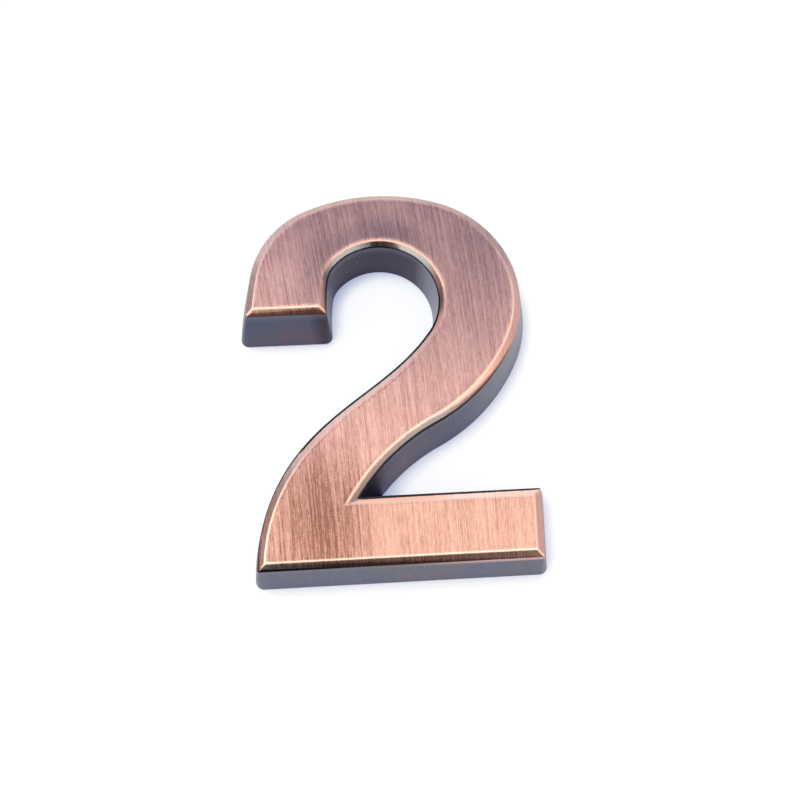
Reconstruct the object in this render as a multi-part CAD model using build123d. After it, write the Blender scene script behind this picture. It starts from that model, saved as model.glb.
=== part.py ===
"""Self-adhesive house number: a digit 2 with a bevelled face, flared walls and a foam pad.

The number lies on its back. X runs along the bar, Y up the digit and Z out of the face.
The origin is under the middle of the digit, on the adhesive face.
"""
import os
from math import asin, atan, atan2, cos, degrees, radians, sin, sqrt, tan

from build123d import *

# Overall sizes in millimetres, the height taken at the foot of the walls
digit_height = 50.0
digit_thickness = 7.0

# Bevel between the flat face and the walls, and the rounded ridge between bevel and face
bevel_width = 0.9
bowl_bevel_width = 0.8
bevel_height = 0.5
ridge_radius = 0.6

# How far the walls spread from the bevel down to the foot: round the outside, inside the bowl,
# and on the two sides at the back of the stem and the top of the bar
wall_flare = 1.5
bowl_flare = 0.3
back_flare = 1.1

# Rounding of the outer corners, which grows from the face down to the foot
face_corner = 0.2
bevel_corner = 0.25
foot_corner = 1.0

# Bar and stroke on the face. The lean of the bar's end is in degrees
bar_length = 30.6
bar_height = 6.1
bar_end_lean = 2.75
crotch_x = 9.2
stroke_at_crown = 5.7
stroke_at_bowl = 8.5
hook_depth = 14.4
bowl_centre_x = 17.8

# Radii of the outer arcs on the face, from the crotch round to the end of the hook
crotch_radius = 25.8
stem_radius = 22.0
bowl_radius = 13.1
crown_radius = 23.0
shoulder_radius = 10.9
hook_radius = 38.8

# Radii of the inner arcs on the face, from the end of the hook to the heel at the lower left
hook_inner_radius = 23.4
shoulder_inner_radius = 4.8
bowl_inner_radius = 8.1
heel_radius = 20.2

# Where one arc hands over to the next, in degrees round its circle from +X
bowl_from = -28.0
crown_from = 71.0
shoulder_from = 112.5
hook_from = 169.5
shoulder_inner_from = 171.7
bowl_inner_from = 136.6
bowl_inner_to = -36.0
heel_from = 140.4
heel_to = 177.5

# Pull of the S-curve up the back of the stem, as a share of its length
stem_pull = 0.36

# Recess in the back, and the foam pad that fills it and stands proud of the rim
rim_width = 1.5
recess_depth = 0.8
recess_corner = 0.8
pad_thickness = 1.0
pad_clearance = 0.25


def polar(length, angle):
    """Vector of a length and a direction in degrees."""
    return Vector(length * cos(radians(angle)), length * sin(radians(angle)))


def inside_centre(centre, radius, next_radius, angle):
    """Centre of the circle that touches another from inside or around it at the given angle."""
    return centre + polar(radius - next_radius, angle)


# Heights on the outline, whose origin is the face's lower left corner
face_height = digit_height - 2 * (bevel_width + wall_flare)
hook_end_y = face_height - hook_depth
foot_z = pad_thickness - recess_depth
face_z = foot_z + digit_thickness

# Centres of the outer arcs: each touches the one before it where they hand over
crown_rise = crown_radius - (crown_radius - bowl_radius) * sin(radians(crown_from))
bowl_centre = Vector(bowl_centre_x, face_height - crown_rise)
stem_centre = inside_centre(bowl_centre, bowl_radius, stem_radius, bowl_from)
crown_centre = inside_centre(bowl_centre, bowl_radius, crown_radius, crown_from)
shoulder_centre = inside_centre(crown_centre, crown_radius, shoulder_radius, shoulder_from)
hook_centre = inside_centre(shoulder_centre, shoulder_radius, hook_radius, hook_from)

# Centres of the inner arcs, which keep the stroke's width at the bowl and at the crown
bowl_inner_centre = Vector(
    bowl_centre.X + bowl_radius - stroke_at_bowl - bowl_inner_radius,
    face_height - stroke_at_crown - bowl_inner_radius,
)
shoulder_inner_centre = inside_centre(
    bowl_inner_centre, bowl_inner_radius, shoulder_inner_radius, bowl_inner_from
)
hook_inner_centre = inside_centre(
    shoulder_inner_centre, shoulder_inner_radius, hook_inner_radius, shoulder_inner_from
)
heel_centre = polar(heel_radius, heel_to + 180)

# The hollow arc goes through the crotch and touches the stem's outer arc from outside
crotch_way = Vector(crotch_x, bar_height) - stem_centre
crotch_span = stem_radius + crotch_radius
crotch_along = (crotch_way.length**2 + crotch_span**2 - crotch_radius**2) / (2 * crotch_way.length)
crotch_aside = sqrt(crotch_span**2 - crotch_along**2)
crotch_way_angle = degrees(atan2(crotch_way.Y, crotch_way.X))
stem_from = crotch_way_angle + degrees(atan2(crotch_aside, crotch_along))
crotch_centre = stem_centre + polar(crotch_span, stem_from)

# How far the outline spreads outside, inside the bowl and at the back, at each level
face_spread = (0, 0, 0)
bevel_spread = (bevel_width, bowl_bevel_width, bevel_width)
foot_spread = (bevel_width + wall_flare, bowl_bevel_width + bowl_flare, bevel_width + back_flare)
recess_spread = tuple(spread - rim_width for spread in foot_spread)
pad_spread = tuple(spread - pad_clearance for spread in recess_spread)


def arc(centre, radius, start, end):
    """Arc about a centre from one angle to another."""
    return CenterArc(centre, radius, start, end - start)


def left_angle(centre, radius, y):
    """Angle at which the left half of a circle reaches the height y."""
    return 180 - degrees(asin((y - centre.Y) / radius))


def outline(spread, corner, z):
    """The digit's outline at height z, spread beyond the face, with rounded outer corners."""
    wall, bowl, back = spread
    bar_top = bar_height + back
    hook_y = hook_end_y - wall
    bar_end = bar_length + wall / cos(radians(bar_end_lean))
    lean = tan(radians(bar_end_lean))

    crotch_r = crotch_radius - wall
    hook_r = hook_radius + wall
    hook_inner_r = hook_inner_radius - bowl
    heel_r = heel_radius + back
    crotch_from = left_angle(crotch_centre, crotch_r, bar_top)
    hook_to = left_angle(hook_centre, hook_r, hook_y)
    hook_inner_from = left_angle(hook_inner_centre, hook_inner_r, hook_y)
    heel_end = left_angle(heel_centre, heel_r, -wall)

    heel_foot = heel_centre + polar(heel_r, heel_end)
    bar_end_foot = Vector(bar_end - lean * wall, -wall)
    bar_end_top = Vector(bar_end + lean * bar_top, bar_top)
    crotch = crotch_centre + polar(crotch_r, crotch_from)
    hook_outside = hook_centre + polar(hook_r, hook_to)
    hook_inside = hook_inner_centre + polar(hook_inner_r, hook_inner_from)

    bowl_end = bowl_inner_centre + polar(bowl_inner_radius - bowl, bowl_inner_to)
    heel_start = heel_centre + polar(heel_r, heel_from)
    pull = stem_pull * (heel_start - bowl_end).length
    stem_curve = Bezier(
        bowl_end,
        bowl_end + polar(pull, bowl_inner_to - 90),
        heel_start - polar(pull, heel_from + 90),
        heel_start,
    )

    edges = [
        Line(heel_foot, bar_end_foot),
        Line(bar_end_foot, bar_end_top),
        Line(bar_end_top, crotch),
        arc(crotch_centre, crotch_r, crotch_from, stem_from + 180),
        arc(stem_centre, stem_radius + wall, stem_from, bowl_from),
        arc(bowl_centre, bowl_radius + wall, bowl_from, crown_from),
        arc(crown_centre, crown_radius + wall, crown_from, shoulder_from),
        arc(shoulder_centre, shoulder_radius + wall, shoulder_from, hook_from),
        arc(hook_centre, hook_r, hook_from, hook_to),
        Line(hook_outside, hook_inside),
        arc(hook_inner_centre, hook_inner_r, hook_inner_from, shoulder_inner_from),
        arc(shoulder_inner_centre, shoulder_inner_radius - bowl, shoulder_inner_from, bowl_inner_from),
        arc(bowl_inner_centre, bowl_inner_radius - bowl, bowl_inner_from, bowl_inner_to),
        stem_curve,
        arc(heel_centre, heel_r, heel_from, heel_end),
    ]
    flat = make_face(edges).face()
    corners = [heel_foot, bar_end_foot, bar_end_top, hook_outside, hook_inside]
    outer = [flat.vertices().sort_by_distance(point)[0] for point in corners]
    return flat.fillet_2d(corner, outer).moved(Location((0, 0, z)))


def digit():
    """The moulding: flared walls, mitred bevel, rounded ridge and the recess in its back."""
    foot = outline(foot_spread, foot_corner, foot_z)
    bevel = outline(bevel_spread, bevel_corner, face_z - bevel_height)
    face = outline(face_spread, face_corner, face_z)
    body = loft([foot, bevel, face], ruled=True)

    # The ridge's rounding stays inside the face's small corners
    bevel_slope = atan(bevel_height / bevel_width)
    widest_ridge = 0.9 * face_corner / tan(bevel_slope / 2)
    ridge = body.faces().sort_by(Axis.Z)[-1].edges()
    body = fillet(ridge, min(ridge_radius, widest_ridge))
    return body - extrude(outline(recess_spread, recess_corner, foot_z), recess_depth)


def adhesive_pad():
    """Die-cut foam pad, from the adhesive face up to the floor of the recess."""
    return extrude(outline(pad_spread, recess_corner, 0), pad_thickness)


centre = outline(foot_spread, foot_corner, 0).bounding_box().center()
to_origin = Location((-centre.X, -centre.Y, 0))

os.makedirs("parts", exist_ok=True)
export_step(digit().moved(to_origin), "parts/digit.step")
export_step(adhesive_pad().moved(to_origin), "parts/adhesive_pad.step")
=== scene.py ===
"""Self-adhesive house number: the digit 2 in brushed antique copper, lying on a white table."""
from collections import namedtuple
from math import asin, atan2, cos, degrees, radians, sin, sqrt, tan

import bmesh
import bpy
from mathutils import Matrix, Vector
from mathutils.geometry import interpolate_bezier


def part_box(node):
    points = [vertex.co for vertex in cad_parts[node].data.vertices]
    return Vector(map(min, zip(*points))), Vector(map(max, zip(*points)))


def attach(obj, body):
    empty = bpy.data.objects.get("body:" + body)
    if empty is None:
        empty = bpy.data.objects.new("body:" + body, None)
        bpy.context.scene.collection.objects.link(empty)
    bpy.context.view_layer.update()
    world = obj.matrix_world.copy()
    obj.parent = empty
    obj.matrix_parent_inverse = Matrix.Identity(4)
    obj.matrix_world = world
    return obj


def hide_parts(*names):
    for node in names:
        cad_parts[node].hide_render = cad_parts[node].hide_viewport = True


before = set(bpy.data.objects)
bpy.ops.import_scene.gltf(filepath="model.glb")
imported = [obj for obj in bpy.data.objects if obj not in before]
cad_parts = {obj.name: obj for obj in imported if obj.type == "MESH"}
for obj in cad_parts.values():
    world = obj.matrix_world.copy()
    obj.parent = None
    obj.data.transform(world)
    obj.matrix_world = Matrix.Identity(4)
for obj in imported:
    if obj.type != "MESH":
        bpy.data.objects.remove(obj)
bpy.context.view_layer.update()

MM = 0.001

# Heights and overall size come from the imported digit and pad
digit_low, digit_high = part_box("digit")
pad_low, pad_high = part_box("adhesive_pad")
digit_height = digit_high.y - digit_low.y
foot_z = digit_low.z
face_z = digit_high.z

# Bevel, ridge and flare of the walls: outside, inside the bowl, and at the back of the stem
bevel_width = 0.9 * MM
bowl_bevel_width = 0.8 * MM
bevel_height = 0.5 * MM
wall_flare = 1.5 * MM
bowl_flare = 0.3 * MM
back_flare = 1.1 * MM
face_corner = 0.2 * MM
bevel_corner = 0.25 * MM
foot_corner = 1.0 * MM
inner_corner = 0.05 * MM

# How far the rounding of each edge reaches to either side of it, and the rubbed margin of the face
rub_width = 0.60 * MM
ridge_face_reach = 0.30 * MM
ridge_bevel_reach = 0.20 * MM
bevel_edge_reach = 0.06 * MM
foot_edge_reach = 0.12 * MM
rim_edge_reach = 0.08 * MM

# Bar and stroke on the face, and the lean of the bar's end in degrees
bar_length = 30.6 * MM
bar_height = 6.1 * MM
bar_end_lean = 2.75
crotch_x = 9.2 * MM
stroke_at_crown = 5.7 * MM
stroke_at_bowl = 8.5 * MM
hook_depth = 14.4 * MM
bowl_centre_x = 17.8 * MM

# Outer arcs from the crotch round to the hook, then inner arcs from the hook to the heel
crotch_radius = 25.8 * MM
stem_radius = 22.0 * MM
bowl_radius = 13.1 * MM
crown_radius = 23.0 * MM
shoulder_radius = 10.9 * MM
hook_radius = 38.8 * MM
hook_inner_radius = 23.4 * MM
shoulder_inner_radius = 4.8 * MM
bowl_inner_radius = 8.1 * MM
heel_radius = 20.2 * MM

# Where one arc hands over to the next, in degrees round its circle from +X
bowl_from = -28.0
crown_from = 71.0
shoulder_from = 112.5
hook_from = 169.5
shoulder_inner_from = 171.7
bowl_inner_from = 136.6
bowl_inner_low = 8.0
bowl_inner_to = -36.0
heel_from = 140.4
heel_to = 177.5
stem_pull = 0.36

# Recess in the back, and the pad in it with its release film
rim_width = 1.5 * MM
recess_depth = 0.8 * MM
recess_corner = 0.8 * MM
pad_clearance = 0.25 * MM
film_thickness = 0.08 * MM
pad_edge_reach = 0.15 * MM

# Fineness of the outline and of its rounded edges
ARC_STEPS = 48
RUN_STEPS = 24
CORNER_STEPS = 8
RIDGE_STEPS = 10
EDGE_STEPS = 4
SMALL_EDGE_STEPS = 3
JOIN_GAP = 0.0005 * MM
SHARP_ANGLE = radians(40)

# Loops that keep the bevel and the wall flat up to their rounded edges, as shares of their height
bevel_holds = (0.08, 0.92)
wall_holds = (0.03, 0.97)

# How far the table reaches to each side, in metres
table_reach = 3.0

# Camera, from the fit of the photograph's outlines, with its turns in degrees
camera_place = Vector((-2.581, -31.057, 95.752)) * MM
camera_yaw = 8.263
camera_pitch = 16.948
camera_roll = 5.309
camera_lens = 35.107
camera_sensor = 36.0
camera_near = 1.0 * MM

# The brush's fan: its lean, its bend up the digit and its spread across it
fan_lean = 0.080
fan_bend = 0.00113
fan_spread = 0.0035

# Places where the finish differs, in millimetres. The patch at the heel leans and is drawn out along
# the brush, and the gap in the bowl's grey patina and painted reflection is measured from the bowl's middle
heel_patch = (-8.6, -18.4)
heel_lean = 0.05
heel_stretch = 0.58
shoulder_patch = (-15.0, 11.0)
stem_patch = (-2.0, -10.0)
patina_and_reflection_gap = (0.9, 7.6)

# Wear at the start and the end of each stroke of the outline.
# reach: how far down the bevel it was brushed bare, 1 to its lower edge, and more leaves brighter copper.
# line: the bevel's lower edge, 1 a wide black line of patina, 0 no line, -1 worn to bare copper.
# rub: how far the margin of the face and the ridge were rubbed to bare copper, which is partly wear and
# partly a painted highlight, 0 not at all, 1 or more fully
Wear = namedtuple("Wear", "reach line rub")
wear_of = {
    "heel corner": Wear(reach=(0.4, 0.0), line=(0.3, 0.6), rub=(1.0, 1.0)),
    "bar front": Wear(reach=(-0.1, 0.7), line=(0.8, -1.0), rub=(1.0, 1.0)),
    "bar end foot": Wear(reach=(0.7, 0.8), line=(-1.0, 0.0), rub=(1.0, 0.8)),
    "bar end": Wear(reach=(0.8, 0.8), line=(0.0, 0.0), rub=(0.8, 0.7)),
    "bar end top": Wear(reach=(0.8, 1.5), line=(0.0, 0.5), rub=(0.7, 0.9)),
    "bar top": Wear(reach=(1.5, 0.2), line=(0.6, 1.0), rub=(0.9, 0.4)),
    "crotch": Wear(reach=(-0.1, -0.1), line=(0.5, 0.7), rub=(0.7, 0.9)),
    "stem": Wear(reach=(-0.1, 0.7), line=(0.7, 0.1), rub=(0.9, 1.0)),
    "bowl": Wear(reach=(0.8, 1.0), line=(0.1, 0.0), rub=(1.2, 0.0)),
    "crown": Wear(reach=(1.0, 1.0), line=(0.0, 0.0), rub=(0.0, 0.2)),
    "shoulder": Wear(reach=(1.0, 0.95), line=(0.0, 0.0), rub=(0.2, 0.8)),
    "hook": Wear(reach=(0.95, 0.9), line=(0.0, 0.1), rub=(0.8, 0.9)),
    "hook outside": Wear(reach=(0.9, 0.4), line=(0.1, 0.1), rub=(0.9, 1.0)),
    "hook end": Wear(reach=(0.3, 0.0), line=(0.1, 0.1), rub=(1.0, 1.0)),
    "hook inside": Wear(reach=(0.5, 0.5), line=(0.1, 0.2), rub=(1.0, 0.3)),
    "hook inner": Wear(reach=(0.4, 0.1), line=(0.2, 0.6), rub=(0.2, 0.1)),
    "shoulder inner": Wear(reach=(0.0, -0.1), line=(0.6, 0.5), rub=(0.1, 0.5)),
    "bowl inner": Wear(reach=(-0.08, -0.25), line=(0.5, 0.4), rub=(0.7, 0.9)),
    "bowl inner low": Wear(reach=(-0.2, 0.8), line=(0.4, 1.0), rub=(0.5, 0.1)),
    "stem back": Wear(reach=(0.9, 1.2), line=(1.0, 0.8), rub=(0.1, 0.6)),
    "heel": Wear(reach=(1.1, 0.4), line=(0.5, 0.1), rub=(0.7, 1.0)),
}

Level = namedtuple("Level", "wall bowl back corner z")


def polar(length, angle):
    """Flat vector of a length and a direction in degrees."""
    return Vector((length * cos(radians(angle)), length * sin(radians(angle)), 0))


def inside_centre(centre, radius, next_radius, angle):
    """Centre of the circle that touches another from inside or around it at the given angle."""
    return centre + polar(radius - next_radius, angle)


def left_angle(centre, radius, y):
    """Angle at which the left half of a circle reaches the height y."""
    return 180 - degrees(asin((y - centre.y) / radius))


# Centres of the arcs, from the face's lower left corner
face_height = digit_height - 2 * (bevel_width + wall_flare)
hook_end_y = face_height - hook_depth
crown_rise = crown_radius - (crown_radius - bowl_radius) * sin(radians(crown_from))
bowl_centre = Vector((bowl_centre_x, face_height - crown_rise, 0))
stem_centre = inside_centre(bowl_centre, bowl_radius, stem_radius, bowl_from)
crown_centre = inside_centre(bowl_centre, bowl_radius, crown_radius, crown_from)
shoulder_centre = inside_centre(crown_centre, crown_radius, shoulder_radius, shoulder_from)
hook_centre = inside_centre(shoulder_centre, shoulder_radius, hook_radius, hook_from)
bowl_inner_centre = Vector((
    bowl_centre.x + bowl_radius - stroke_at_bowl - bowl_inner_radius,
    face_height - stroke_at_crown - bowl_inner_radius,
    0,
))
shoulder_inner_centre = inside_centre(
    bowl_inner_centre, bowl_inner_radius, shoulder_inner_radius, bowl_inner_from
)
hook_inner_centre = inside_centre(
    shoulder_inner_centre, shoulder_inner_radius, hook_inner_radius, shoulder_inner_from
)
heel_centre = polar(heel_radius, heel_to + 180)

# The hollow arc goes through the crotch and touches the stem's outer arc from outside
crotch_way = Vector((crotch_x, bar_height, 0)) - stem_centre
crotch_span = stem_radius + crotch_radius
crotch_along = (crotch_way.length**2 + crotch_span**2 - crotch_radius**2) / (2 * crotch_way.length)
crotch_aside = sqrt(crotch_span**2 - crotch_along**2)
stem_from = degrees(atan2(crotch_way.y, crotch_way.x) + atan2(crotch_aside, crotch_along))
crotch_centre = stem_centre + polar(crotch_span, stem_from)


class Pen:
    """Draws one closed loop of edges at a height, with the wear of each stroke on its vertices."""

    def __init__(self, z):
        self.bm = bmesh.new()
        for name in ("down",) + Wear._fields:
            self.bm.verts.layers.float.new(name)
        self.lift = Vector((0, 0, z))
        self.first = None
        self.tip = None

    def line_to(self, point):
        """A straight edge from the tip to a point, or the loop's first vertex."""
        point = point + self.lift
        if self.tip is None:
            self.tip = self.first = self.bm.verts.new(point)
        elif (self.tip.co - point).length > JOIN_GAP:
            self.tip = bmesh.ops.extrude_vert_indiv(self.bm, verts=[self.tip])["verts"][0]
            self.tip.co = point

    def run(self, name, point):
        """A straight stroke to a point."""
        before = len(self.bm.verts) - 1
        start = self.tip.co - self.lift
        for step in range(RUN_STEPS):
            self.line_to(start.lerp(point, (step + 1) / RUN_STEPS))
        self.wear(name, before)

    def arc(self, name, centre, radius, start, end, steps=ARC_STEPS, run=None):
        """An arc, spun from its start, after a straight stroke up to there where one is named."""
        first = centre + polar(radius, start)
        if run:
            self.run(run, first)
        self.line_to(first)
        before = len(self.bm.verts) - 1
        turn = bmesh.ops.spin(
            self.bm, geom=[self.tip], cent=centre + self.lift, axis=(0, 0, 1),
            angle=radians(end - start), steps=steps,
        )
        self.tip = turn["geom_last"][0]
        self.wear(name, before)

    def curve(self, name, start, start_pull, end_pull, end):
        """An S-curve between two points with their pulls."""
        before = len(self.bm.verts) - 1
        for point in interpolate_bezier(start, start_pull, end_pull, end, ARC_STEPS + 1)[1:]:
            self.line_to(point)
        self.wear(name, before)

    def wear(self, name, before):
        """Writes a stroke's wear on its vertices, evenly from its start to its end."""
        self.bm.verts.ensure_lookup_table()
        verts = self.bm.verts[before:]
        for layer_name, (first, last) in wear_of[name]._asdict().items():
            layer = self.bm.verts.layers.float[layer_name]
            for step, vert in enumerate(verts):
                vert[layer] = first + (last - first) * step / (len(verts) - 1)

    def close(self, way):
        """Joins the last vertex to the first and writes the loop's way down the section on it."""
        bmesh.ops.weld_verts(self.bm, targetmap={self.tip: self.first})
        down = self.bm.verts.layers.float["down"]
        for vert in self.bm.verts:
            vert[down] = way
        return self.bm


def draw_outline(level, way=0.0):
    """The digit's outline at one level, with rounded outer corners, a way down the section."""
    wall, bowl, back, corner, z = level
    lean = radians(bar_end_lean)
    bar_top = bar_height + back
    hook_y = hook_end_y - wall
    bar_end = bar_length + wall / cos(lean)
    crotch_r = crotch_radius - wall
    hook_r = hook_radius + wall
    hook_inner_r = hook_inner_radius - bowl
    heel_r = heel_radius + back
    bowl_inner_r = bowl_inner_radius - bowl

    # Rounded corners: each centre lies one corner radius inside both of its sides
    heel_end = left_angle(heel_centre, heel_r - corner, corner - wall)
    heel_corner = heel_centre + polar(heel_r - corner, heel_end)
    end_inset = corner / cos(lean)
    end_foot = Vector((bar_end + tan(lean) * (corner - wall) - end_inset, corner - wall, 0))
    end_top = Vector((bar_end + tan(lean) * (bar_top - corner) - end_inset, bar_top - corner, 0))
    hook_to = left_angle(hook_centre, hook_r - corner, hook_y + corner)
    hook_outside = hook_centre + polar(hook_r - corner, hook_to)
    hook_back = left_angle(hook_inner_centre, hook_inner_r + corner, hook_y + corner)
    hook_inside = hook_inner_centre + polar(hook_inner_r + corner, hook_back)

    crotch_from = left_angle(crotch_centre, crotch_r, bar_top)
    bowl_end = bowl_inner_centre + polar(bowl_inner_r, bowl_inner_to)
    heel_start = heel_centre + polar(heel_r, heel_from)
    pull = stem_pull * (heel_start - bowl_end).length

    pen = Pen(z)
    pen.arc("heel corner", heel_corner, corner, heel_end, 270, CORNER_STEPS)
    pen.arc("bar end foot", end_foot, corner, -90, -bar_end_lean, CORNER_STEPS, run="bar front")
    pen.arc("bar end top", end_top, corner, -bar_end_lean, 90, CORNER_STEPS, run="bar end")
    pen.arc("crotch", crotch_centre, crotch_r, crotch_from, stem_from + 180, run="bar top")
    pen.arc("stem", stem_centre, stem_radius + wall, stem_from, bowl_from)
    pen.arc("bowl", bowl_centre, bowl_radius + wall, bowl_from, crown_from)
    pen.arc("crown", crown_centre, crown_radius + wall, crown_from, shoulder_from)
    pen.arc("shoulder", shoulder_centre, shoulder_radius + wall, shoulder_from, hook_from)
    pen.arc("hook", hook_centre, hook_r, hook_from, hook_to)
    pen.arc("hook outside", hook_outside, corner, hook_to, 270, CORNER_STEPS)
    pen.arc("hook inside", hook_inside, corner, -90, hook_back - 180, CORNER_STEPS, run="hook end")
    pen.arc("hook inner", hook_inner_centre, hook_inner_r, hook_back, shoulder_inner_from)
    pen.arc(
        "shoulder inner", shoulder_inner_centre, shoulder_inner_radius - bowl,
        shoulder_inner_from, bowl_inner_from,
    )
    pen.arc("bowl inner", bowl_inner_centre, bowl_inner_r, bowl_inner_from, bowl_inner_low)
    pen.arc("bowl inner low", bowl_inner_centre, bowl_inner_r, bowl_inner_low, bowl_inner_to)
    pen.curve(
        "stem back", bowl_end,
        bowl_end + polar(pull, bowl_inner_to - 90),
        heel_start - polar(pull, heel_from + 90),
        heel_start,
    )
    pen.arc("heel", heel_centre, heel_r, heel_from, heel_end)
    return pen.close(way)


def between(a, b, share):
    """The level a share of the way from one level to another."""
    return Level(*(x + (y - x) * share for x, y in zip(a, b)))


def rounded(before, edge, after, steps):
    """Levels that round an edge, from a level before it to one after it."""
    shares = [step / steps for step in range(steps + 1)]
    return [between(between(before, edge, t), between(edge, after, t), t) for t in shares]


def towards(edge, other, reach):
    """The level that lies a distance from an edge on the way to another level."""
    way = sqrt((other.wall - edge.wall) ** 2 + (other.z - edge.z) ** 2)
    return between(edge, other, reach / way)


def spread_by(level, amount, **changes):
    """A level whose outline is spread by an amount all round."""
    moved = level._replace(wall=level.wall + amount, bowl=level.bowl + amount, back=level.back + amount)
    return moved._replace(**changes)


# Levels of the digit: face, bevel, foot, and the rim and recess in its back
face_edge = Level(0, 0, 0, face_corner, face_z)
bevel_edge = Level(bevel_width, bowl_bevel_width, bevel_width, bevel_corner, face_z - bevel_height)
foot_edge = Level(
    bevel_width + wall_flare, bowl_bevel_width + bowl_flare, bevel_width + back_flare, foot_corner, foot_z
)
rim_edge = spread_by(foot_edge, -rim_width, corner=recess_corner)
recess_edge = rim_edge._replace(z=foot_z + recess_depth)
pad_edge = spread_by(rim_edge, -pad_clearance)
ridge_start = spread_by(face_edge, -ridge_face_reach, corner=inner_corner)
face_inside = spread_by(face_edge, -rub_width, corner=inner_corner)


def digit_levels():
    """The digit's levels from its face down the outside, over the rim and up into the recess."""
    ridge = rounded(ridge_start, face_edge, towards(face_edge, bevel_edge, ridge_bevel_reach), RIDGE_STEPS)
    bevel_corner_levels = rounded(
        towards(bevel_edge, face_edge, bevel_edge_reach), bevel_edge,
        towards(bevel_edge, foot_edge, bevel_edge_reach), EDGE_STEPS,
    )
    foot_levels = rounded(
        towards(foot_edge, bevel_edge, foot_edge_reach), foot_edge,
        towards(foot_edge, rim_edge, foot_edge_reach), EDGE_STEPS,
    )
    rim_levels = rounded(
        towards(rim_edge, foot_edge, rim_edge_reach), rim_edge,
        towards(rim_edge, recess_edge, rim_edge_reach), SMALL_EDGE_STEPS,
    )
    bevel_hold = [between(ridge[-1], bevel_corner_levels[0], share) for share in bevel_holds]
    wall_hold = [between(bevel_corner_levels[-1], foot_levels[0], share) for share in wall_holds]
    outside = [face_inside] + ridge + bevel_hold + bevel_corner_levels + wall_hold + foot_levels
    return outside + rim_levels + [recess_edge]


def way_down(levels):
    """How far each level lies from the first along the section, in millimetres."""
    steps = [0]
    for upper, lower in zip(levels, levels[1:]):
        steps.append(steps[-1] + sqrt((lower.wall - upper.wall) ** 2 + (lower.z - upper.z) ** 2) / MM)
    return steps


def skin_levels(name, levels):
    """A closed piece through a list of levels, flat at both ends, with the way down the section on it."""
    bm = bmesh.new()
    loops = []
    for level, way in zip(levels, way_down(levels)):
        edges_before = len(bm.edges)
        add_loop(bm, draw_outline(level, way))
        loops.append(bm.edges[edges_before:])
    for upper, lower in zip(loops, loops[1:]):
        bmesh.ops.bridge_loops(bm, edges=upper + lower)
    for face in bm.faces:
        face.smooth = True
    for loop in (loops[0], loops[-1]):
        bmesh.ops.edgeloop_fill(bm, edges=loop)
    bmesh.ops.translate(bm, vec=outline_shift, verts=bm.verts)
    bmesh.ops.recalc_face_normals(bm, faces=bm.faces)
    for edge in bm.edges:
        edge.smooth = edge.calc_face_angle() < SHARP_ANGLE
    return place_mesh(bm, name)


def add_loop(bm, loop):
    """Adds a drawn loop to a bmesh."""
    mesh = bpy.data.meshes.new("loop")
    loop.to_mesh(mesh)
    loop.free()
    bm.from_mesh(mesh)
    bpy.data.meshes.remove(mesh)
    bm.edges.ensure_lookup_table()


def place_mesh(bm, name):
    """Turns a bmesh into an object of the scene."""
    mesh = bpy.data.meshes.new(name)
    bm.to_mesh(mesh)
    bm.free()
    piece = bpy.data.objects.new(name, mesh)
    bpy.context.scene.collection.objects.link(piece)
    return piece


def shift_to_frame():
    """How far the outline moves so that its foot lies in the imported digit's box."""
    foot = draw_outline(foot_edge)
    left = min(vert.co.x for vert in foot.verts)
    lowest = min(vert.co.y for vert in foot.verts)
    foot.free()
    return Vector((digit_low.x - left, digit_low.y - lowest, 0))


outline_shift = shift_to_frame()
bowl_middle = bowl_inner_centre + outline_shift


class Value:
    """A number or colour that flows between nodes: sums and products of numbers add Math nodes."""

    def __init__(self, sheet, socket):
        self.sheet = sheet
        self.socket = socket

    def __add__(self, other):
        return self.sheet.math("ADD", self, other)

    def __sub__(self, other):
        return self.sheet.math("SUBTRACT", self, other)

    def __rsub__(self, other):
        return self.sheet.math("SUBTRACT", other, self)

    def __mul__(self, other):
        return self.sheet.math("MULTIPLY", self, other)

    __radd__ = __add__
    __rmul__ = __mul__


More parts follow.
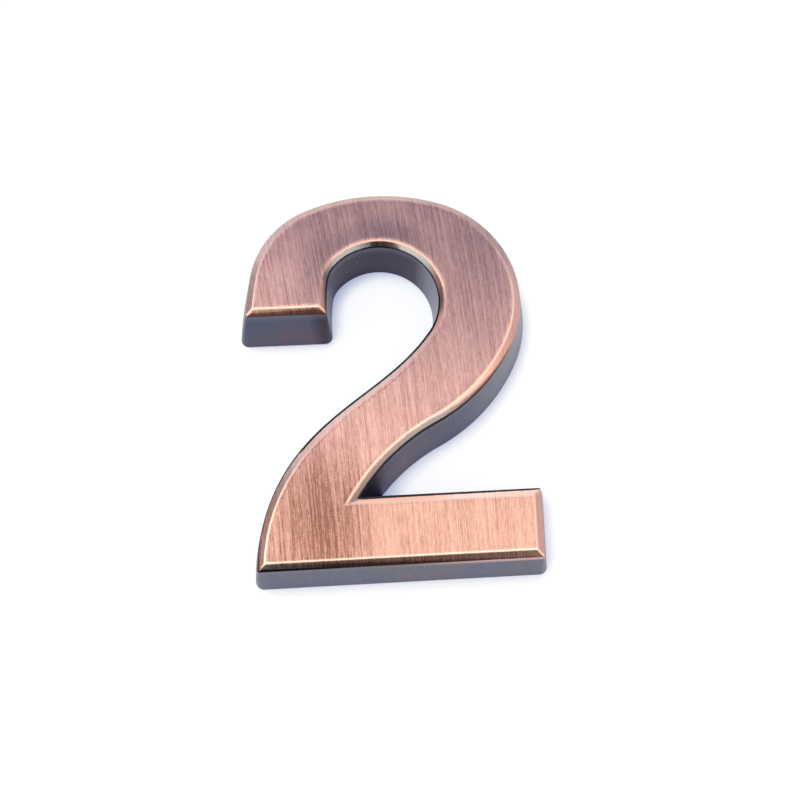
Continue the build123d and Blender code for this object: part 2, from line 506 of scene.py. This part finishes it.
class Sheet:
    """The nodes of one finish, or of the world."""

    def __init__(self, tree):
        self.tree = tree
        tree.nodes.clear()

    def add(self, kind, settings=None, sockets=None, out=0):
        """Adds a node with its settings, fills or links its sockets and returns one of its outputs."""
        node = self.tree.nodes.new("ShaderNode" + kind)
        for name, setting in (settings or {}).items():
            setattr(node, name, setting)
        for name, value in (sockets or {}).items():
            if isinstance(value, Value):
                self.tree.links.new(value.socket, node.inputs[name])
            else:
                node.inputs[name].default_value = value
        return Value(self, node.outputs[out]) if node.outputs else node

    def math(self, operation, a, b):
        """A Math node on two numbers."""
        return self.add("Math", {"operation": operation}, {0: a, 1: b})

    def ramp(self, value, low, high):
        """0 below low, 1 above high and smooth between."""
        limits = {"Value": value, "From Min": low, "From Max": high}
        return self.add("MapRange", {"interpolation_type": "SMOOTHSTEP"}, limits)

    def colours(self, share, a, b):
        """From colour a to colour b by a share."""
        return self.add("Mix", {"data_type": "RGBA"}, {0: share, 6: a, 7: b}, out=2)

    def attribute(self, name):
        """A number that the piece carries on its vertices."""
        return self.add("Attribute", {"attribute_name": name}, out=2)

    def split(self, vector):
        """The X, Y and Z of a vector."""
        parts = self.add("SeparateXYZ", None, {0: vector}).socket.node.outputs
        return [Value(self, part) for part in parts]

    def distance(self, x, y, from_x, from_y):
        """How far a flat place lies from a point."""
        place = self.add("CombineXYZ", None, {"X": x, "Y": y})
        ends = {0: place, 1: (from_x, from_y, 0.0)}
        return self.add("VectorMath", {"operation": "DISTANCE"}, ends, out=1)

    def millimetres(self):
        """Object coordinates in millimetres."""
        place = self.add("TexCoord", out=3)
        return self.add("VectorMath", {"operation": "SCALE"}, {0: place, "Scale": 1 / MM})

    def noise(self, place, size, seed, detail=2.0):
        """Noise whose grains have a size in millimetres along X, Y and Z."""
        scale = tuple(1 / length for length in size)
        moved = self.add("Mapping", None, {"Vector": place, "Location": (seed, seed, seed), "Scale": scale})
        return self.add("TexNoise", None, {"Vector": moved, "Scale": 1.0, "Detail": detail})


def finish(name):
    """A new material and its sheet of nodes."""
    material = bpy.data.materials.new(name)
    material.use_nodes = True
    return material, Sheet(material.node_tree)


def colour(red, green, blue):
    """A linear colour with full alpha."""
    return (red, green, blue, 1.0)


# Bare copper of the face, the ridge and the bevel, from dark to bright, the ridge's partly a painted
# highlight
face_dark = colour(0.32, 0.15, 0.112)
bar_bright = colour(1.0, 0.592, 0.480)
stem_bright = colour(1.0, 0.608, 0.535)
ridge_copper_and_highlight = colour(1.0, 0.70, 0.57)
bevel_coppers = (colour(0.70, 0.36, 0.29), colour(0.95, 0.54, 0.44))
pale_coppers = (colour(0.66, 0.46, 0.42), colour(0.95, 0.69, 0.63))
bright_coppers = (colour(0.60, 0.34, 0.28), colour(1.0, 0.68, 0.57))
worn_copper = colour(0.58, 0.37, 0.36)
gloss_tint = colour(0.85, 0.85, 0.88)

# Patina of the face, the bevel and the walls, and the dust on it, with painted shade, reflections and
# highlights among them
plum_patinas_and_shade = (colour(0.079, 0.055, 0.083), colour(0.174, 0.129, 0.182))
brown_patina = colour(0.205, 0.100, 0.078)
grey_patina_and_reflection = colour(0.37, 0.35, 0.34)
gap_patina_and_dark_reflection = colour(0.060, 0.042, 0.040)
line_patina = colour(0.030, 0.025, 0.029)
wall_blue = colour(0.082, 0.096, 0.146)
wall_maroon = colour(0.147, 0.088, 0.104)
wall_shaded_in_bowl = colour(0.048, 0.036, 0.057)
wall_reflection_right_of_bowl = colour(0.36, 0.36, 0.42)
wall_reflection_far_right = colour(0.30, 0.30, 0.36)
wall_top_highlight = colour(0.19, 0.20, 0.28)
wall_foot_shade = colour(0.045, 0.045, 0.062)
dust_grey = colour(0.70, 0.68, 0.68)

Marks = namedtuple("Marks", "short_line wide_line lines grain patches blotch")


def brush_marks(sheet, place):
    """Brush lines up the digit in a slight fan, and the grain, patches and blotches of the patina."""
    x, y, z = sheet.split(place)
    across = x + y * (fan_lean + fan_bend * y - fan_spread * x)
    brushed = sheet.add("CombineXYZ", None, {"X": across, "Y": y, "Z": z})
    long_line = sheet.noise(brushed, (0.10, 9.0, 3.0), 3.1, detail=1.0) - 0.5
    short_line = sheet.noise(brushed, (0.12, 1.3, 3.0), 7.7, detail=1.0) - 0.5
    wide_line = sheet.noise(brushed, (0.35, 14.0, 3.0), 17.3, detail=1.0) - 0.5
    speck = sheet.noise(place, (0.18, 0.22, 0.20), 21.3) - 0.5
    lines = long_line * 1.3 + short_line * 1.1 + wide_line * 0.8 + speck * 0.7
    grain = sheet.noise(place, (0.25, 0.25, 0.25), 9.2) - 0.5
    patches = sheet.noise(place, (1.4, 1.4, 1.4), 33.0, detail=1.0) - 0.5
    blotch = sheet.noise(place, (6.0, 6.0, 6.0), 5.6)
    return Marks(short_line, wide_line, lines, grain, patches, blotch)


def wall_patina_and_painted_light(sheet, place, blotch, from_bowl, below_bevel):
    """Dark patina of the walls with faint maroon clouds and a few specks of dust, with painted shade in the
    bowl and at the foot, and painted reflections and a painted highlight that lighten the bowl's right side,
    the far right and the top of the wall.
    """
    x, y, z = sheet.split(place)
    at_stem = 1 - sheet.ramp(sheet.distance(x, y, *stem_patch), 3.0, 12.0)
    cloud = sheet.ramp(blotch + at_stem * 0.15, 0.44, 0.78) * 0.8
    wall = sheet.colours(cloud, wall_blue, wall_maroon)

    in_bowl = 1 - sheet.ramp(from_bowl, 7.6, 9.5)
    right_of_bowl = sheet.ramp(x, 4.0, 6.5)
    far_right = sheet.ramp(x, 8.0, 16.0) * sheet.ramp(y, -15.0, -8.0)
    # Painted shade: the wall is darkened inside the bowl's hollow
    wall = sheet.colours(in_bowl * (1 - right_of_bowl) * 0.85, wall, wall_shaded_in_bowl)
    # Painted reflection: the bowl's right wall is lightened as if it mirrored the white table
    wall = sheet.colours(in_bowl * right_of_bowl * 0.4, wall, wall_reflection_right_of_bowl)
    # Painted reflection: the walls at the far right are lightened as if they mirrored the white table
    wall = sheet.colours(far_right * 0.5, wall, wall_reflection_far_right)

    at_top = 1 - sheet.ramp(below_bevel, 0.0, 1.5)
    at_foot = 1 - sheet.ramp(z, 0.25, 0.45)
    dust = sheet.ramp(sheet.noise(place, (0.20, 0.20, 0.20), 41.0, detail=0.0), 0.86, 0.89)
    # Painted highlight: the wall is lightened just below the bevel's edge
    wall = sheet.colours(at_top * 0.35, wall, wall_top_highlight)
    # Painted shade: the wall is darkened at its foot where it meets the table
    wall = sheet.colours(at_foot * 0.5, wall, wall_foot_shade)
    return sheet.colours(dust, wall, dust_grey)


def antiqued_copper_plate(zones):
    """Brushed copper on the face and ridge, dark patina at the bevel's lower edge and on the walls, with
    painted highlights, reflections and shade among them.
    """
    ridge_middle, ridge_end, bevel_end = zones
    material, sheet = finish("antiqued_copper_plate")
    place = sheet.millimetres()
    x, y, _ = sheet.split(place)
    short_line, wide_line, lines, grain, patches, blotch = brush_marks(sheet, place)
    down, reach, line, rub = (sheet.attribute(name) for name in ("down",) + Wear._fields)

    # Where the face gives way to the ridge, the bevel and the wall
    on_ridge = sheet.ramp(down, ridge_middle - 0.20, ridge_middle)
    on_bevel = sheet.ramp(down, ridge_middle, ridge_end)
    below_bevel = down - bevel_end
    on_wall = sheet.ramp(below_bevel, 0.0, 0.12)

    # Copper of the face, warmest on the bar, with a darker and more streaked patch at the heel
    heel_x, heel_y = heel_patch
    leaning = (heel_x - heel_y * heel_lean, heel_y * heel_stretch)
    from_heel = sheet.distance(x - y * heel_lean, y * heel_stretch, *leaning)
    at_heel = 1 - sheet.ramp(from_heel, 0.5, 8.0)
    shine = 0.71 - 0.60 * at_heel + lines * (0.72 + at_heel * 0.2)
    bright = sheet.colours(sheet.ramp(y, -17.5, -9.0), bar_bright, stem_bright)
    face = sheet.colours(shine, face_dark, bright)
    # The ridge turns to bright copper where rubbed, partly wear and partly a painted highlight
    face = sheet.colours(on_ridge * rub, face, ridge_copper_and_highlight)

    # Bare copper on the bevel, paler and then brighter where it was brushed further
    bevel_copper = sheet.colours(0.6 + lines * 0.4, *bevel_coppers)
    pale_copper = sheet.colours(shine, *pale_coppers)
    bright_copper = sheet.colours(shine, *bright_coppers)
    bevel_copper = sheet.colours(sheet.ramp(reach, 0.7, 1.0), bevel_copper, pale_copper)
    bevel_copper = sheet.colours(sheet.ramp(reach, 1.0, 1.4), bevel_copper, bright_copper)
    base = sheet.colours(on_bevel, face, bevel_copper)

    # Patina where the brush did not reach: brown, and grey beside a black line and round the bowl's top; the
    # grey and its dark gap at the bowl's top are partly painted reflections
    bowl_x, bowl_y = bowl_middle.x / MM, bowl_middle.y / MM
    gap_x, gap_y = patina_and_reflection_gap
    from_bowl = sheet.distance(x, y, bowl_x, bowl_y)
    from_gap = sheet.distance(x, y, bowl_x + gap_x, bowl_y + gap_y)
    # Round the bowl's top the grey is partly a painted reflection, with a dark gap that is partly a painted
    # reflection too
    bowl_top = (1 - sheet.ramp(from_bowl, 8.6, 9.2)) * sheet.ramp(y, bowl_y + 2.0, bowl_y + 5.0)
    in_gap = 1 - sheet.ramp(from_gap + patches * 2.5, 1.2, 2.2)
    grey = sheet.math("MAXIMUM", sheet.ramp(line, 0.3, 0.9), bowl_top * (1 - in_gap))
    patina = sheet.colours(grey, brown_patina, grey_patina_and_reflection)
    patina = sheet.colours(in_gap * bowl_top * 0.7, patina, gap_patina_and_dark_reflection)
    bevel_share = (down - ridge_middle) * (1 / (bevel_end - ridge_middle))
    bared = reach + (short_line + wide_line) * 0.10 + grain * 0.20 + patches * grey * 0.6
    left_dark = sheet.ramp(bevel_share - bared, 0.0, 0.5)
    base = sheet.colours(left_dark * on_bevel, base, patina)

    # A plum colour, partly patina and partly painted shade, deepens towards the crown and round the bowl,
    # rubbed off the margin in places
    round_bowl = (1 - sheet.ramp(from_bowl, 9.2, 12.2)) * (1 - sheet.ramp(x, 3.0, 7.5))
    at_right = sheet.ramp(x, 0.0, 12.0)
    at_shoulder = 1 - sheet.ramp(sheet.distance(x, y, *shoulder_patch), 1.0, 8.0)
    depth = 0.43 + blotch * 0.36 + round_bowl * 0.20 + at_right * 0.10
    rubbed_off = rub * sheet.ramp(down, 0.05, 0.50)
    kept = (1 - at_shoulder * 0.28) * (1 - rubbed_off) * (1 - on_bevel * 0.2)
    plum_tone_and_shade = sheet.ramp(y + x * 0.15, -16.0, 26.0) * depth * kept
    base = sheet.colours(plum_tone_and_shade, base, sheet.colours(0.5 + lines, *plum_patinas_and_shade))

    # The bevel's lower edge in a black line or worn bare, with the wall below it
    below_shaky = below_bevel + grain * 0.10 + patches * 0.08
    black = sheet.math("MAXIMUM", line, 0.0)
    worn = sheet.math("MAXIMUM", line * -1.0, 0.0)
    on_line = sheet.ramp(below_shaky + black * 0.36, -0.10, 0.0)
    on_worn = sheet.ramp(below_shaky, -0.12, 0.05) - sheet.ramp(below_shaky, 0.35, 0.90)
    base = sheet.colours(on_line * sheet.ramp(black, 0.0, 0.5), base, line_patina)
    base = sheet.colours(on_wall, base, wall_patina_and_painted_light(sheet, place, blotch, from_bowl, below_bevel))
    base = sheet.colours(on_worn * sheet.ramp(worn, 0.0, 0.8), base, worn_copper)

    # Brush lines stand out on the face and on a brushed bevel
    brushed_bevel = sheet.ramp(reach, 0.85, 1.10)
    height = lines * (1 - on_bevel * (1 - brushed_bevel)) * (1 - on_wall)
    roughness = 0.32 - 0.04 * on_ridge + 0.04 * on_wall + lines * 0.10
    bump = sheet.add("Bump", None, {"Strength": 0.2, "Distance": 0.02 * MM, "Height": height})
    shader = sheet.add("BsdfPrincipled", None, {
        "Base Color": base, "Metallic": 1.0, "Roughness": roughness, "Normal": bump,
        "Specular Tint": gloss_tint,
    })
    sheet.add("OutputMaterial", None, {"Surface": shader})
    return material


def adhesive_foam():
    """White closed-cell foam with fine pores."""
    material, sheet = finish("adhesive_foam")
    place = sheet.millimetres()
    pores = sheet.noise(place, (0.12, 0.12, 0.12), 2.0)
    base = sheet.colours(pores, colour(0.72, 0.72, 0.68), colour(0.9, 0.9, 0.87))
    bump = sheet.add("Bump", None, {"Strength": 0.6, "Distance": 0.03 * MM, "Height": pores})
    shader = sheet.add("BsdfPrincipled", None, {"Base Color": base, "Roughness": 0.85, "Normal": bump})
    sheet.add("OutputMaterial", None, {"Surface": shader})
    return material


def release_paper():
    """Waxed release paper over the adhesive, with faint fibres."""
    material, sheet = finish("release_paper")
    place = sheet.millimetres()
    fibres = sheet.noise(place, (0.9, 0.15, 0.5), 4.0, detail=4.0)
    base = sheet.colours(fibres, colour(0.80, 0.74, 0.58), colour(0.88, 0.83, 0.68))
    shader = sheet.add("BsdfPrincipled", None, {"Base Color": base, "Roughness": 0.3 + 0.15 * fibres})
    sheet.add("OutputMaterial", None, {"Surface": shader})
    return material


def white_table():
    """White table that shows as white to the camera and in metal, keeps a cool shadow under the digit,
    and is clear from below so that the pad can be seen."""
    material, sheet = finish("white_table")
    path = sheet.add("LightPath").socket.node.outputs
    camera, glossy, through = (
        Value(sheet, path[name]) for name in ("Is Camera Ray", "Is Glossy Ray", "Is Transmission Ray")
    )
    shows = sheet.math("MINIMUM", camera + glossy + through, 1.0)

    # A warm share lit by the tent and a cool share that glows, dimmed near the digit as a painted shadow,
    # add up to white
    lit_share = sheet.add("BsdfDiffuse", None, {"Color": colour(0.30, 0.24, 0.14)})
    lamp_side = sheet.add("CombineXYZ", None, {"X": -0.60, "Y": 0.45, "Z": 0.66})
    near = {"Distance": 2.6 * MM, "Normal": lamp_side}
    open_share = sheet.ramp(sheet.add("AmbientOcclusion", {"samples": 8}, near, out=1), 0.15, 0.78)
    white = sheet.colours(open_share, colour(0.19, 0.26, 0.50), colour(0.77, 0.825, 0.915))
    glow = sheet.add("Emission", None, {"Color": white, "Strength": 1.0})
    shown = sheet.add("AddShader", None, {0: lit_share, 1: glow})
    plain = sheet.add("BsdfDiffuse", None, {"Color": colour(0.85, 0.85, 0.85)})
    table = sheet.add("MixShader", None, {0: shows, 1: plain, 2: shown})
    from_below = sheet.add("NewGeometry", out="Backfacing")
    clear = sheet.add("BsdfTransparent")
    shader = sheet.add("MixShader", None, {0: from_below, 1: table, 2: clear})
    sheet.add("OutputMaterial", None, {"Surface": shader})
    return material


def make_digit():
    """The plated moulding."""
    bevel_way = sqrt(bevel_width**2 + bevel_height**2)
    zones = (rub_width / MM, (rub_width + ridge_bevel_reach) / MM, (rub_width + bevel_way) / MM)
    piece = skin_levels("digit_shell", digit_levels())
    piece.data.materials.append(antiqued_copper_plate(zones))
    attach(piece, "root")
    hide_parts("digit")


def make_pad():
    """The foam pad in the recess and the release paper under it."""
    foam_top = pad_edge._replace(z=pad_high.z)
    foam_foot = pad_edge._replace(z=pad_low.z + film_thickness)
    inside_top = spread_by(foam_top, -pad_edge_reach)
    inside_foot = spread_by(foam_foot, -pad_edge_reach)
    side_top = towards(foam_top, foam_foot, pad_edge_reach)
    side_foot = towards(foam_foot, foam_top, pad_edge_reach)
    levels = rounded(inside_top, foam_top, side_top, SMALL_EDGE_STEPS)
    levels += rounded(side_foot, foam_foot, inside_foot, SMALL_EDGE_STEPS)
    foam = skin_levels("foam_pad", levels)
    foam.data.materials.append(adhesive_foam())
    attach(foam, "root")
    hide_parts("adhesive_pad")

    film_top = pad_edge._replace(z=pad_low.z + film_thickness)
    film_foot = pad_edge._replace(z=pad_low.z)
    film = skin_levels("release_film", [film_top, film_foot])
    film.data.materials.append(release_paper())
    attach(film, "root")


def make_table():
    """The white table."""
    bm = bmesh.new()
    bmesh.ops.create_grid(bm, x_segments=1, y_segments=1, size=table_reach)
    table = place_mesh(bm, "table")
    table.data.materials.append(white_table())


def make_camera():
    """The photograph's camera: turned by yaw, tipped from straight down by pitch, then rolled."""
    yaw, pitch, roll = (radians(turn) for turn in (camera_yaw, camera_pitch, camera_roll))
    forward = Vector((sin(pitch) * sin(yaw), sin(pitch) * cos(yaw), -cos(pitch)))
    level_right = Vector((cos(yaw), -sin(yaw), 0))
    level_up = level_right.cross(forward)
    right = level_right * cos(roll) + level_up * sin(roll)
    up = level_up * cos(roll) - level_right * sin(roll)
    data = bpy.data.cameras.new("camera")
    data.lens = camera_lens
    data.sensor_width = camera_sensor
    data.clip_start = camera_near
    camera = bpy.data.objects.new("camera", data)
    turn = Matrix((right, up, -forward)).transposed().to_4x4()
    camera.matrix_world = Matrix.Translation(camera_place) @ turn
    bpy.context.scene.collection.objects.link(camera)
    bpy.context.scene.camera = camera


# Lamps and shades of the tent: the way to each, how near to that way it starts and is full, and its colour.
# A later one covers the earlier ones
Glow = namedtuple("Glow", "way start full colour")
tent_glows = {
    "dim back right": Glow((0.55, 0.82, 0.10), 0.80, 0.97, colour(0.50, 0.54, 0.64)),
    "dim right": Glow((0.93, 0.10, 0.33), 0.86, 0.98, colour(0.68, 0.65, 0.70)),
    "back lamp": Glow((0.05, 0.96, 0.28), 0.85, 0.97, colour(1.36, 1.30, 1.24)),
    "left shade": Glow((-0.86, 0.30, 0.42), 0.89, 0.965, colour(0.26, 0.26, 0.30)),
    "left lamp": Glow((-0.66, 0.20, 0.72), 0.965, 0.99, colour(2.60, 2.50, 2.40)),
    "front left lamp": Glow((-0.38, -0.48, 0.79), 0.96, 0.985, colour(2.20, 2.15, 2.10)),
    "front right lamp": Glow((0.34, -0.50, 0.79), 0.965, 0.985, colour(2.20, 2.15, 2.10)),
    "right softbox": Glow((0.65, -0.45, 0.62), 0.94, 0.98, colour(1.60, 1.56, 1.52)),
    "opening for the camera": Glow((-0.02, -0.59, 0.81), 0.970, 0.988, colour(0.08, 0.07, 0.07)),
    "front shade": Glow((0.02, -0.80, 0.60), 0.86, 0.965, colour(0.04, 0.035, 0.035)),
}


def make_light():
    """A white tent: a warm top, a cool back, a bright front, pale sides, and its lamps and shades.
    The camera sees it as plain white."""
    world = bpy.data.worlds.new("tent")
    bpy.context.scene.world = world
    world.use_nodes = True
    sheet = Sheet(world.node_tree)
    ray = sheet.add("TexCoord", out=0)

    def facing(way):
        """How far a ray points in a direction, from -1 to 1."""
        ends = {0: ray, 1: Vector(way).normalized()}
        return sheet.add("VectorMath", {"operation": "DOT_PRODUCT"}, ends, out=1)

    upward = facing((0, 0, 1))
    backward = facing((0, 1, 0))
    back = sheet.ramp(backward, 0.06, 0.48)
    front = 1 - sheet.ramp(backward, -0.28, 0.06)
    sides = 1 - sheet.ramp(upward, 0.42, 0.80)
    low_down = 1 - sheet.ramp(upward, 0.08, 0.26)
    glow = sheet.colours(back, colour(1.16, 1.06, 0.93), colour(0.92, 0.92, 1.03))
    glow = sheet.colours(front, glow, colour(1.95, 1.90, 1.80))
    glow = sheet.colours(sides, glow, colour(1.00, 0.98, 1.04))
    glow = sheet.colours(low_down, glow, colour(0.68, 0.74, 0.86))
    for lamp in tent_glows.values():
        glow = sheet.colours(sheet.ramp(facing(lamp.way), lamp.start, lamp.full), glow, lamp.colour)

    camera = sheet.add("LightPath", out="Is Camera Ray")
    glow = sheet.colours(camera, glow, colour(1.0, 1.0, 1.0))
    light = sheet.add("Background", None, {"Color": glow, "Strength": 1.0})
    sheet.add("OutputWorld", None, {"Surface": light})


make_digit()
make_pad()
make_table()
make_camera()
make_light()
bpy.context.scene.view_settings.view_transform = "Standard"
